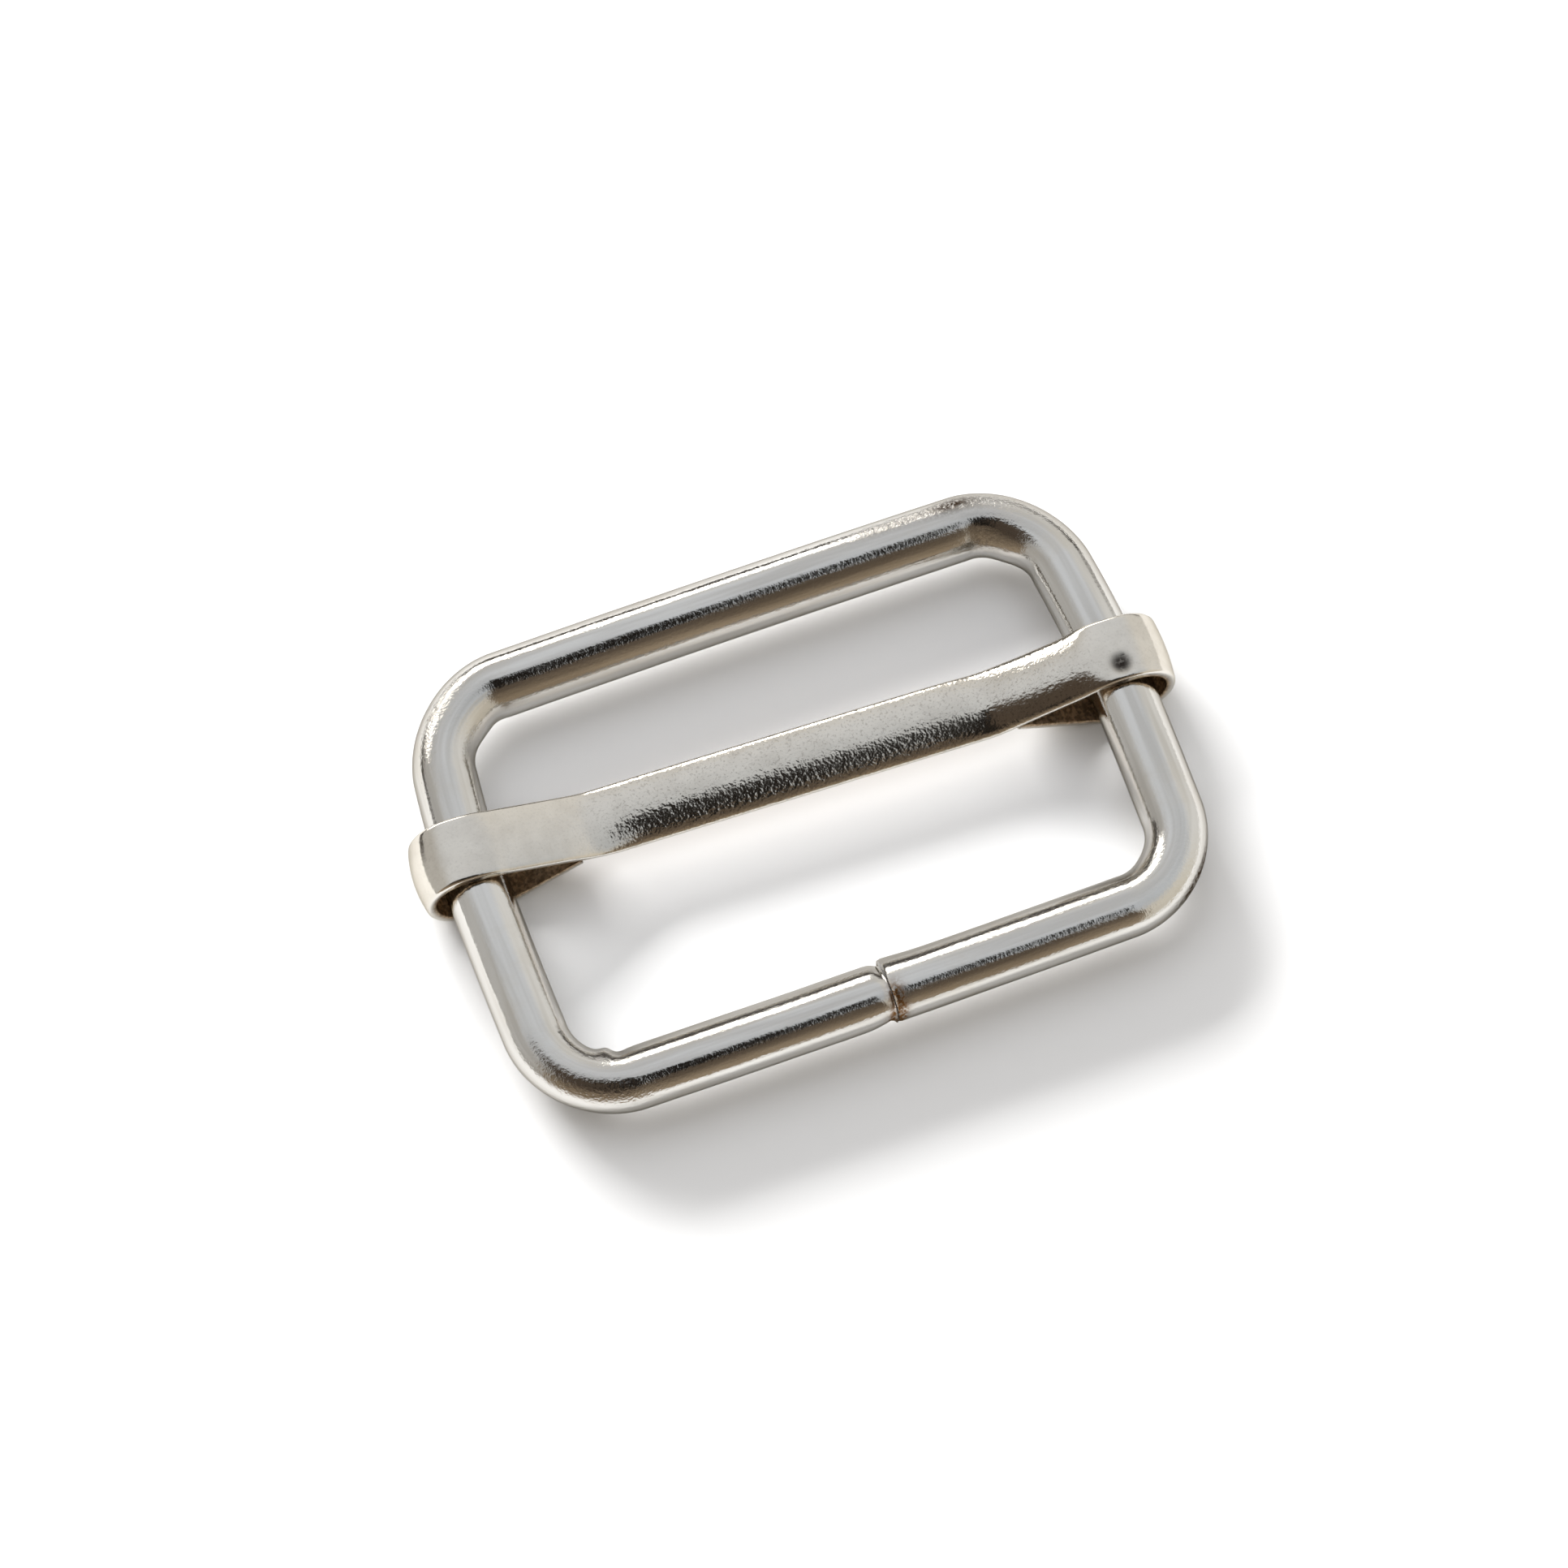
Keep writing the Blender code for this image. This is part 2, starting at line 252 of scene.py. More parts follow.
def make_mesh_piece(name, points, faces, material, attributes):
    """A smooth mesh object with float or vector values on its points."""
    mesh = bpy.data.meshes.new(name)
    mesh.from_pydata([tuple(point) for point in points], [], faces)
    mesh.materials.append(material)
    mesh.shade_smooth()
    for attribute_name, values in attributes.items():
        values = np.asarray(values, dtype=np.float32)
        if values.ndim == 2:
            attribute = mesh.attributes.new(attribute_name, "FLOAT_VECTOR", "POINT")
            attribute.data.foreach_set("vector", values.ravel())
        else:
            attribute = mesh.attributes.new(attribute_name, "FLOAT", "POINT")
            attribute.data.foreach_set("value", values)
    mesh.update()
    piece = bpy.data.objects.new(name, mesh)
    bpy.context.scene.collection.objects.link(piece)
    return piece


# The wire frame

def straight_run(start, end):
    """Points from start to just before end."""
    steps = max(1, round((end - start).length / WIRE_STEP))
    return [start.lerp(end, i / steps) for i in range(steps)]


def corner_arc(centre, first_angle):
    """A quarter turn anticlockwise, from first_angle to just before its end."""
    quarter = math.radians(90.0)
    steps = round(quarter * CORNER_RADIUS / WIRE_STEP)
    angles = [first_angle + quarter * i / steps for i in range(steps)]
    return [centre + CORNER_RADIUS * Vector((math.cos(angle), math.sin(angle))) for angle in angles]


def flat_centreline():
    """Points round the frame, anticlockwise, from one side of the seam to the other."""
    corner_x = HALF_WIDTH - CORNER_RADIUS
    corner_y = HALF_DEPTH - CORNER_RADIUS
    seam_right = Vector((SEAM_X + SEAM_GAP / 2, -HALF_DEPTH))
    seam_left = Vector((SEAM_X - SEAM_GAP / 2, -HALF_DEPTH))
    points = straight_run(seam_right, Vector((corner_x, -HALF_DEPTH)))
    points += corner_arc(Vector((corner_x, -corner_y)), math.radians(-90.0))
    points += straight_run(Vector((HALF_WIDTH, -corner_y)), Vector((HALF_WIDTH, corner_y)))
    points += corner_arc(Vector((corner_x, corner_y)), 0.0)
    points += straight_run(Vector((corner_x, HALF_DEPTH)), Vector((-corner_x, HALF_DEPTH)))
    points += corner_arc(Vector((-corner_x, corner_y)), math.radians(90.0))
    points += straight_run(Vector((-HALF_WIDTH, corner_y)), Vector((-HALF_WIDTH, -corner_y)))
    points += corner_arc(Vector((-corner_x, -corner_y)), math.radians(180.0))
    points += straight_run(Vector((-corner_x, -HALF_DEPTH)), seam_left)
    points.append(seam_left)
    return np.array(points)


def rail_shape(flat):
    """Leans the side rails in towards the corners and bows the long rails outwards."""
    along = flat[:, 1] / HALF_DEPTH
    lean = np.where(along > 0.0, BACK_LEAN, FRONT_LEAN) * along ** 2
    bow = RAIL_BOW * (1.0 - (flat[:, 0] / HALF_WIDTH) ** 2)
    return np.stack((flat[:, 0] * (1.0 - lean / HALF_WIDTH), flat[:, 1] + bow * along), axis=1)


def bend_share(flat):
    """0 on the straight rails, 1 on the diagonal of a bend."""
    depth_x = np.abs(flat[:, 0]) - (HALF_WIDTH - CORNER_RADIUS)
    depth_y = np.abs(flat[:, 1]) - (HALF_DEPTH - CORNER_RADIUS)
    on_bend = (depth_x > 0.0) & (depth_y > 0.0)
    return np.where(on_bend, np.sin(2.0 * np.arctan2(depth_y, depth_x)), 0.0)


def angle_between(angles, centre):
    """The smallest difference of angles, in radians."""
    return np.abs((angles - centre + math.pi) % (2.0 * math.pi) - math.pi)


def facing_weight(feature, angles):
    """How strongly a feature is felt at each angle round the wire; with no angle, it goes all round."""
    if "angle" not in feature:
        return np.ones(len(angles))
    turned = angle_between(angles, math.radians(feature["angle"])) / math.radians(feature["spread"])
    return np.exp(-turned ** 2)


def mark_weight(mark, flat, angles):
    """How strongly a mark is felt at each section and angle, from 0 to 1."""
    away = np.linalg.norm(flat - np.array(mark["at"]) * MM, axis=1) / (mark["length"] * MM)
    return np.exp(-away[:, None] ** 2) * facing_weight(mark, angles)[None, :]


def sum_marks(kind, flat, angles):
    """All marks' swell, scuff, stain or rust, added up at each section and angle."""
    total = np.zeros((len(flat), len(angles)))
    for mark in WIRE_MARKS:
        total += mark.get(kind, 0.0) * mark_weight(mark, flat, angles)
    return total


def out_of_round(flat, angles):
    """What the long rails' radius gains towards the outer top and loses across it, as a part of it."""
    start, end = LONG_RAIL_FADE
    on_long_rail = np.clip((np.abs(flat[:, 1]) / HALF_DEPTH - start) / (end - start), 0.0, 1.0)
    return OUT_OF_ROUND * on_long_rail[:, None] * np.cos(2.0 * (angles[None, :] - math.radians(45.0)))


def seam_shape(to_ends, angles):
    """What the wire's radius gains near its two ends, in metres, from the distances to each end."""
    total = np.zeros((len(to_ends["right"]), len(angles)))
    for feature in SEAM_FEATURES:
        away = to_ends[feature["end"]] / (feature["reach"] * MM)
        near = np.exp(-away ** feature["power"])
        total += feature["swell"] * MM * near[:, None] * facing_weight(feature, angles)[None, :]
    return total


def waviness(along, angles):
    """Slow, slight unevenness of the drawn wire, in metres."""
    slow = np.sin(along[:, None] / WAVE_ALONG + 2.0 * np.sin(along[:, None] / WAVE_DRIFT))
    turned = np.cos(angles[None, :] * 2.0 + along[:, None] / WAVE_TWIST)
    return WAVINESS * slow * turned


def build_wire(material, low, high):
    """The wire, built round the middle of its box and held inside it."""
    rail_z = (low.z + high.z) / 2
    flat = flat_centreline()
    centres = rail_shape(flat)
    tangents = np.gradient(centres, axis=0)
    tangents /= np.linalg.norm(tangents, axis=1)[:, None]
    outward = np.stack((tangents[:, 1], -tangents[:, 0]), axis=1)
    steps = np.linalg.norm(np.diff(centres, axis=0), axis=1)
    along = np.concatenate(([0.0], np.cumsum(steps)))
    angles = np.arange(WIRE_SIDES) * 2.0 * math.pi / WIRE_SIDES

    radius = WIRE_RADIUS * (1.0 - CORNER_THINNING * bend_share(flat))[:, None]
    radius = radius * (1.0 + out_of_round(flat, angles))
    radius = radius + sum_marks("swell", flat, angles) * MM
    radius = radius + waviness(along, angles) - WAVINESS
    radius = radius + seam_shape({"right": along, "left": along[-1] - along}, angles)

    cosine = np.cos(angles)[None, :]
    sine = np.sin(angles)[None, :]
    points = np.empty((len(flat), WIRE_SIDES, 3))
    points[:, :, 0] = centres[:, None, 0] + radius * cosine * outward[:, None, 0]
    points[:, :, 1] = centres[:, None, 1] + radius * cosine * outward[:, None, 1]
    points[:, :, 2] = rail_z + radius * sine
    faces = grid_faces(len(flat), WIRE_SIDES)
    faces.append(tuple(range(WIRE_SIDES)))
    last = (len(flat) - 1) * WIRE_SIDES
    faces.append(tuple(last + i for i in reversed(range(WIRE_SIDES))))

    space = np.empty_like(points)
    space[:, :, 0] = along[:, None] / MM
    space[:, :, 1] = cosine * WIRE_RADIUS / MM
    space[:, :, 2] = sine * WIRE_RADIUS / MM
    stretch = bend_share(flat)[:, None] * mix(INNER_STRETCH, 1.0, np.maximum(cosine, 0.0))
    scuff = sum_marks("scuff", flat, angles) + STRETCH_SCUFF * stretch
    attributes = {
        "wire_space": space.reshape(-1, 3),
        "scuff": np.clip(scuff, 0.0, 1.0).ravel(),
        # Dark marks: real stains, and painted dark reflections in two dents
        "darkening": np.clip(sum_marks("darkening", flat, angles), 0.0, 1.0).ravel(),
        "rust": np.clip(sum_marks("rust", flat, angles), 0.0, 1.0).ravel(),
    }
    points = np.clip(points, low, high)
    return make_mesh_piece("wire_frame_fine", points.reshape(-1, 3), faces, material, attributes)


# The sheet bar

def end_at(distance):
    """The end of the bar that this distance runs towards."""
    return RIGHT_END if distance >= 0.0 else LEFT_END


def soft_ramp(fraction):
    """A straight ramp from 0 to 1, rounded off where it starts and where it ends."""
    slope = 1.0 / (1.0 - RISE_CORNER)
    if fraction < RISE_CORNER:
        return slope * fraction * fraction / (2.0 * RISE_CORNER)
    if fraction > 1.0 - RISE_CORNER:
        return 1.0 - slope * (1.0 - fraction) ** 2 / (2.0 * RISE_CORNER)
    return slope * (fraction - RISE_CORNER / 2.0)


def strip_centre(distance):
    """A point on the middle line of the strip, in the bar's own X and Z.

    The distance runs from the bar's middle, positive to the right: first across the top, then
    round the rail, then back below it to the tip of the tail.
    """
    side = 1.0 if distance >= 0.0 else -1.0
    reach = abs(distance)
    half_turn = math.pi * LOOP_MID_RADIUS
    if reach <= LOOP_X:
        lift = soft_ramp(progress(reach, *end_at(distance)["rise"]))
        return side * reach, LOOP_MID_RADIUS - MIDDLE_SINK * (1.0 - lift)
    if reach <= LOOP_X + half_turn:
        turn = (reach - LOOP_X) / LOOP_MID_RADIUS
        return side * (LOOP_X + LOOP_MID_RADIUS * math.sin(turn)), LOOP_MID_RADIUS * math.cos(turn)
    tail_x = LOOP_X - (reach - LOOP_X - half_turn)
    rise = TAIL_RISE * progress(tail_x, TAIL_FLAT_END, TAIL_TIP)
    return side * tail_x, rise - LOOP_MID_RADIUS


def strip_half_width(distance):
    """Half the width of the flat strip at this distance: less towards the tip of a tail."""
    tail_x = 2.0 * LOOP_X + math.pi * LOOP_MID_RADIUS - abs(distance)
    return mix(STRIP_HALF_WIDTH, TAIL_TIP_HALF_WIDTH, progress(tail_x, TAIL_FLAT_END, TAIL_TIP))


def strip_flatness(distance):
    """0 in the crowned middle, 1 where the strip is flat."""
    return ease(progress(abs(distance), *end_at(distance)["fold"]))


def outboard_fold(distance):
    """How far the long edges turn in on a loop's outboard side."""
    turn = math.pi * progress(abs(distance), LOOP_X, LOOP_X + math.pi * LOOP_MID_RADIUS)
    return end_at(distance)["outboard_fold"] * math.sin(turn) ** 2


def strip_roll(distance):
    """How far the strip is rolled to the front at this distance."""
    return MIDDLE_ROLL * (1.0 - ease(progress(abs(distance), *end_at(distance)["roll"])))


def section_tilt(from_crown, half_width, distance):
    """The sheet's downward tilt, at a distance along it from the strip's middle line."""
    crowned = 1.0 - strip_flatness(distance)
    end_fold = END_FOLD * (1.0 - progress(abs(distance), *END_FOLD_FADE))
    fold = mix(end_fold, MIDDLE_FOLD, crowned)
    even = (fold + outboard_fold(distance)) * from_crown / half_width
    curled = np.clip((from_crown - half_width + CURL_WIDTH) / CURL_WIDTH, 0.0, 1.0)
    return even + EDGE_CURL * crowned * curled ** 2


def folded_section(offsets, half_width, distance):
    """Sideways place, drop and tilt of points at these offsets from the middle, along the sheet."""
    roll = strip_roll(distance)
    reach = np.abs(offsets)
    side = np.sign(offsets)
    steps = (np.arange(FOLD_STEPS) + 0.5) / FOLD_STEPS
    tilts = section_tilt(reach[:, None] * steps[None, :], half_width, distance) * side[:, None] - roll
    sideways = (np.cos(tilts) * offsets[:, None] / FOLD_STEPS).sum(axis=1)
    drop = (np.sin(tilts) * offsets[:, None] / FOLD_STEPS).sum(axis=1)
    return sideways, drop, section_tilt(reach, half_width, distance) * side - roll


def face_run(start, end, height, steps):
    """Points across one face of the strip, at some of the FLAT_STEPS steps from start to end."""
    return [(mix(start, end, i / FLAT_STEPS), height) for i in steps]


def edge_arc(offset, height, radius, first_angle, steps):
    """Points clockwise round a corner, at some of the EDGE_STEPS steps of a quarter turn."""
    points = []
    for i in steps:
        angle = math.radians(first_angle - 90.0 * i / EDGE_STEPS)
        points.append((offset + radius * math.cos(angle), height + radius * math.sin(angle)))
    return points


def strip_outline(half_width):
    """The strip's cut section as a ring: offset along the sheet and height above its middle.

    The upper edges are rolled over, as a press leaves them; the lower ones are nearly sharp.
    """
    top = SHEET / 2
    rolled = UPPER_EDGE_RADIUS
    sharp = LOWER_EDGE_RADIUS
    after_first = range(1, EDGE_STEPS + 1)
    points = face_run(rolled - half_width, half_width - rolled, top, range(FLAT_STEPS + 1))
    points += edge_arc(half_width - rolled, top - rolled, rolled, 90.0, after_first)
    points += edge_arc(half_width - sharp, sharp - top, sharp, 0.0, range(EDGE_STEPS + 1))
    points += face_run(half_width - sharp, sharp - half_width, -top, range(1, FLAT_STEPS + 1))
    points += edge_arc(sharp - half_width, sharp - top, sharp, -90.0, after_first)
    points += edge_arc(rolled - half_width, top - rolled, rolled, 180.0, range(EDGE_STEPS))
    outline = np.array(points)
    return outline[:, 0], outline[:, 1]


def dimple_weight(distance, offsets, heights):
    """How strongly the dimple is felt at points of the strip's upper face, from 0 to 1."""
    away = np.hypot(distance - DIMPLE_DISTANCE, offsets - DIMPLE_OFFSET) / DIMPLE_RADIUS
    return np.exp(-away ** 4) * (heights > 0.0)


def strip_section(distance):
    """The ring of points round the bent sheet at this distance, in the bar's own axes.

    With it come each point's offset and height in the sheet, and the sheet's half width.
    """
    nudge = 0.01 * MM
    before = np.array(strip_centre(distance - nudge))
    after = np.array(strip_centre(distance + nudge))
    direction = (after - before) / np.linalg.norm(after - before)
    centre_x, centre_z = strip_centre(distance)
    half_width = strip_half_width(distance)
    offsets, heights = strip_outline(half_width)
    heights = heights - DIMPLE_DEPTH * dimple_weight(distance, offsets, heights)
    sideways, drop, tilt = folded_section(offsets, half_width, distance)
    across = sideways + heights * np.sin(tilt)
    below = drop - heights * np.cos(tilt)
    points = np.stack((
        centre_x + below * direction[1],
        across,
        centre_z - below * direction[0],
    ), axis=1)
    return points, offsets, heights, half_width


def build_bar(material, low, high):
    """The bar, built round the middle of its box and held inside it."""
    middle_y = (low.y + high.y) / 2
    loop_z = (low.z + high.z) / 2
    distances = np.linspace(-STRIP_HALF_LENGTH, STRIP_HALF_LENGTH, STRIP_STEPS + 1)
    rings = [strip_section(distance) for distance in distances]
    columns = len(rings[0][1])
    points = np.concatenate([ring[0] for ring in rings])
    points[:, 1] += points[:, 2] * math.tan(WRAP_LEAN)
    turned = Matrix.Translation((0.0, middle_y, loop_z)) @ Matrix.Rotation(BAR_SKEW, 4, "Z")
    place = np.array(turned)
    points = np.clip(points @ place[:3, :3].T + place[:3, 3], low, high)
    faces = [tuple(reversed(face)) for face in grid_faces(len(rings), columns)]
    faces.append(tuple(reversed(range(columns))))
    last = (len(rings) - 1) * columns
    faces.append(tuple(last + i for i in range(columns)))

    offsets = np.concatenate([ring[1] for ring in rings])
    heights = np.concatenate([ring[2] for ring in rings])
    half_widths = np.repeat([ring[3] for ring in rings], columns)
    reach = np.repeat(distances, columns)
    to_edge = half_widths - np.abs(offsets)
    crowned = 1.0 - np.repeat([strip_flatness(distance) for distance in distances], columns)
    outer_face = np.clip(heights / (SHEET / 2), -1.0, 1.0)    # 1 on the outer face, -1 on the inner one
    attributes = {
        "sheet_space": np.stack((reach / MM, offsets / MM, heights / MM), axis=1),
        "edge_wear": np.exp(-to_edge / EDGE_WEAR_WIDTH) * (outer_face > -0.9),
        "grain": mix(SMOOTH_GRAIN, 1.0, crowned),
        "inside": (outer_face < -0.5) * 1.0,
        # Where the dimple is painted nearly black
        "darkening": dimple_weight(reach, offsets, heights),
    }
    return make_mesh_piece("slide_bar_fine", points, faces, material, attributes)


# Materials

class Nodes:
    """Shorthand for making and linking a material's or a world's nodes."""

    def __init__(self, tree):
        self.tree = tree

    def add(self, kind, **settings):
        """A new node with these settings."""
        node = self.tree.nodes.new(kind)
        for name, value in settings.items():
            setattr(node, name, value)
        return node

    def link(self, output, socket):
        """Links an output to a socket."""
        self.tree.links.new(output, socket)

    def feed(self, socket, value):
        """Links a value to a socket, or sets it there if it is a plain number."""
        if isinstance(value, (int, float)):
            socket.default_value = value
        else:
            self.link(value, socket)

    def attribute(self, name, output="Fac"):
        """A value that the mesh carries on its points."""
        return self.add("ShaderNodeAttribute", attribute_name=name).outputs[output]

    def stretched(self, vector, scale):
        """The vector with each of its parts multiplied by its own scale."""
        node = self.add("ShaderNodeVectorMath", operation="MULTIPLY")
        self.link(vector, node.inputs[0])
        node.inputs[1].default_value = scale
        return node.outputs["Vector"]

    def noise(self, vector, scale=1.0, detail=3.0, roughness=0.5):
        """Smooth noise round 0.5."""
        node = self.add("ShaderNodeTexNoise")
        self.link(vector, node.inputs["Vector"])
        node.inputs["Scale"].default_value = scale
        node.inputs["Detail"].default_value = detail
        node.inputs["Roughness"].default_value = roughness
        return node.outputs["Fac"]

    def remap(self, value, low, high, new_low=0.0, new_high=1.0):
        """A smooth step: new_low where the value is below low, new_high where it is above high."""
        node = self.add("ShaderNodeMapRange", interpolation_type="SMOOTHSTEP")
        self.link(value, node.inputs["Value"])
        node.inputs["From Min"].default_value = low
        node.inputs["From Max"].default_value = high
        node.inputs["To Min"].default_value = new_low
        node.inputs["To Max"].default_value = new_high
        return node.outputs["Result"]

    def fade_out(self, value, start, end):
        """1 below start, 0 above end."""
        return self.remap(value, start, end, 1.0, 0.0)

    def math(self, operation, first, second):
        """What a math node's operation makes of two values."""
        node = self.add("ShaderNodeMath", operation=operation)
        self.feed(node.inputs[0], first)
        self.feed(node.inputs[1], second)
        return node.outputs["Value"]

    def plus(self, value, share, amount):
        """The value, and this amount more where the share is 1."""
        return self.math("ADD", value, self.math("MULTIPLY", share, amount))

    def blend(self, factor, first, second):
        """A colour between two colours, each a tuple or an output."""
        node = self.add("ShaderNodeMix", data_type="RGBA")
        self.link(factor, node.inputs["Factor"])
        # This node's sockets for other kinds of value have the same names, so these go by number
        for number, colour in ((6, first), (7, second)):
            if isinstance(colour, tuple):
                node.inputs[number].default_value = (*colour, 1.0)
            else:
                self.link(colour, node.inputs[number])
        return node.outputs[2]

    def bump(self, height, distance, normal=None, strength=1.0):
        """The normal of a surface with these small heights on it."""
        node = self.add("ShaderNodeBump")
        self.link(height, node.inputs["Height"])
        node.inputs["Distance"].default_value = distance
        self.feed(node.inputs["Strength"], strength)
        if normal is not None:
            self.link(normal, node.inputs["Normal"])
        return node.outputs["Normal"]


def new_material(name):
    """A new material, its nodes and its shader."""
    material = bpy.data.materials.new(name)
    material.use_nodes = True
    nodes = Nodes(material.node_tree)
    return material, nodes, material.node_tree.nodes["Principled BSDF"]


def object_millimetres(nodes):
    """The piece's own coordinates, in millimetres."""
    place = nodes.add("ShaderNodeTexCoord").outputs["Object"]
    return nodes.stretched(place, (1.0 / MM, 1.0 / MM, 1.0 / MM))


def make_polished_nickel():
    """Bright nickel plate on drawn wire: fine lines along it, fine grain, scuffs, a few stains and painted
    dark reflections in two dents.
    """
    material, nodes, shader = new_material("polished_nickel_drawn")
    space = nodes.attribute("wire_space", "Vector")
    place = object_millimetres(nodes)
    broad_lines = nodes.noise(nodes.stretched(space, (0.10, 1.7, 1.7)), detail=2.0, roughness=0.5)
    fine_lines = nodes.noise(nodes.stretched(space, (0.6, 9.0, 9.0)), detail=1.0, roughness=0.5)
    clouds = nodes.noise(place, scale=0.45, detail=4.0, roughness=0.6)
    grit = nodes.noise(place, scale=5.0, detail=2.5, roughness=0.7)
    scuff = nodes.attribute("scuff")
    blotches = nodes.remap(grit, 0.36, 0.56, 0.35, 1.0)
    darkening = nodes.math("MULTIPLY", nodes.attribute("darkening"), blotches)
    rust = nodes.math("MULTIPLY", nodes.attribute("rust"), blotches)

    colour = nodes.blend(nodes.remap(broad_lines, 0.34, 0.68), BRIGHT_NICKEL, DULL_NICKEL)
    colour = nodes.blend(nodes.remap(clouds, 0.5, 0.8, 0.0, 0.5), colour, CLOUDED_NICKEL)
    # Stains, and painted dark reflections in two dents
    colour = nodes.blend(darkening, colour, WIRE_STAIN_AND_PAINTED_REFLECTION)
    colour = nodes.blend(rust, colour, RUST)
    nodes.link(colour, shader.inputs["Base Color"])

    roughness = nodes.remap(fine_lines, 0.3, 0.7, 0.06, 0.11)
    roughness = nodes.math("ADD", roughness, nodes.remap(clouds, 0.35, 0.7, 0.0, 0.03))
    roughness = nodes.plus(roughness, scuff, 0.10)
    roughness = nodes.plus(roughness, darkening, 0.25)
    roughness = nodes.plus(roughness, rust, 0.35)
    nodes.link(roughness, shader.inputs["Roughness"])

    normal = nodes.bump(broad_lines, 0.020 * MM)
    normal = nodes.bump(fine_lines, 0.0016 * MM, normal)
    normal = nodes.bump(grit, 0.009 * MM, normal)
    normal = nodes.bump(grit, 0.06 * MM, normal, strength=scuff)
    nodes.link(normal, shader.inputs["Normal"])
    shader.inputs["Metallic"].default_value = 1.0
    shader.inputs["Specular Tint"].default_value = (0.42, 0.40, 0.37, 1.0)
    return material


def make_satin_nickel():
    """Nickel plate on pressed sheet: a fine sparkling grain in the middle, smoother on the ends."""
    material, nodes, shader = new_material("satin_nickel_pressed")
    space = nodes.attribute("sheet_space", "Vector")
    place = object_millimetres(nodes)
    grain_share = nodes.attribute("grain")
    edge = nodes.attribute("edge_wear")
    inside = nodes.attribute("inside")
    grain = nodes.noise(place, scale=4.5, detail=1.5, roughness=0.65)
    speck = nodes.noise(place, scale=8.0, detail=2.0, roughness=0.6)
    clouds = nodes.noise(place, scale=0.6, detail=4.0, roughness=0.6)
    lines = nodes.noise(nodes.stretched(space, (0.25, 2.2, 2.2)), detail=3.0, roughness=0.55)
    speckle = nodes.math("MULTIPLY", grain_share, nodes.remap(speck, 0.52, 0.70, 0.0, 0.5))
    tarnish_and_painted_shade = nodes.blend(nodes.remap(grain, 0.35, 0.65), DARK_TARNISH_AND_PAINTED_SHADE, PALE_TARNISH_AND_PAINTED_SHADE)
    darkening = nodes.math("MULTIPLY", nodes.attribute("darkening"), nodes.remap(grain, 0.30, 0.50, 0.8, 1.0))

    colour = nodes.blend(nodes.remap(clouds, 0.35, 0.7), WARM_NICKEL, GREY_NICKEL)
    colour = nodes.blend(speckle, colour, SPECKLED_NICKEL)
    colour = nodes.blend(nodes.math("MULTIPLY", edge, 0.8), colour, RUBBED_EDGE)
    # The inner face: tarnished, and painted darker as shade
    colour = nodes.blend(inside, colour, tarnish_and_painted_shade)
    # The dimple is painted nearly black
    colour = nodes.blend(darkening, colour, DIMPLE_DARKENING)
    nodes.link(colour, shader.inputs["Base Color"])

    roughness = nodes.remap(lines, 0.3, 0.7, 0.10, 0.135)
    roughness = nodes.math("ADD", roughness, nodes.remap(clouds, 0.4, 0.7, 0.0, 0.03))
    roughness = nodes.plus(roughness, edge, -0.03)
    roughness = nodes.plus(roughness, inside, 0.25)
    nodes.link(roughness, shader.inputs["Roughness"])

    normal = nodes.bump(lines, 0.008 * MM)
    normal = nodes.bump(grain, 0.019 * MM, normal, strength=grain_share)
    nodes.link(normal, shader.inputs["Normal"])
    shader.inputs["Metallic"].default_value = 1.0
    shader.inputs["Specular Tint"].default_value = (0.55, 0.53, 0.49, 1.0)
    return material


def make_pale_board():
    """The floor: a matt, nearly white board with a faint mottling."""
    material, nodes, shader = new_material("pale_board")
    place = object_millimetres(nodes)
    mottle = nodes.noise(place, scale=0.02, detail=3.0)
    nodes.link(nodes.blend(mottle, *BOARD_SHADES), shader.inputs["Base Color"])
    shader.inputs["Roughness"].default_value = 0.9
    shader.inputs["Specular IOR Level"].default_value = 0.1
    return material


# The studio

def direction_of(azimuth, elevation):
    """A unit vector: azimuth 0 is the back (+Y), 90 the right (+X); both angles in degrees."""
    turn = math.radians(azimuth)
    rise = math.radians(elevation)
    return Vector((math.sin(turn) * math.cos(rise), math.cos(turn) * math.cos(rise), math.sin(rise)))


def lobe_share(nodes, heading, azimuth, elevation, inner, outer):
    """1 within inner degrees of a direction, 0 past outer degrees."""
    product = nodes.add("ShaderNodeVectorMath", operation="DOT_PRODUCT")
    nodes.link(heading, product.inputs[0])
    product.inputs[1].default_value = direction_of(azimuth, elevation)
    far = math.cos(math.radians(outer))
    near = math.cos(math.radians(inner))
    return nodes.remap(product.outputs["Value"], far, near)


def window_share(nodes, to_right, to_back, height):
    """1 inside the broad, soft-edged window that the metal mirrors at the back, 0 outside it."""
    sideways = nodes.math("DIVIDE", to_right, nodes.math("MAXIMUM", to_back, 0.05))
    share = nodes.remap(height, 0.23, 0.30)
    share = nodes.math("MULTIPLY", share, nodes.fade_out(height, 0.50, 0.58))
    share = nodes.math("MULTIPLY", share, nodes.remap(sideways, -1.0, -0.75))
    share = nodes.math("MULTIPLY", share, nodes.fade_out(sideways, 0.16, 0.31))
    return nodes.math("MULTIPLY", share, nodes.remap(to_back, 0.05, 0.15))


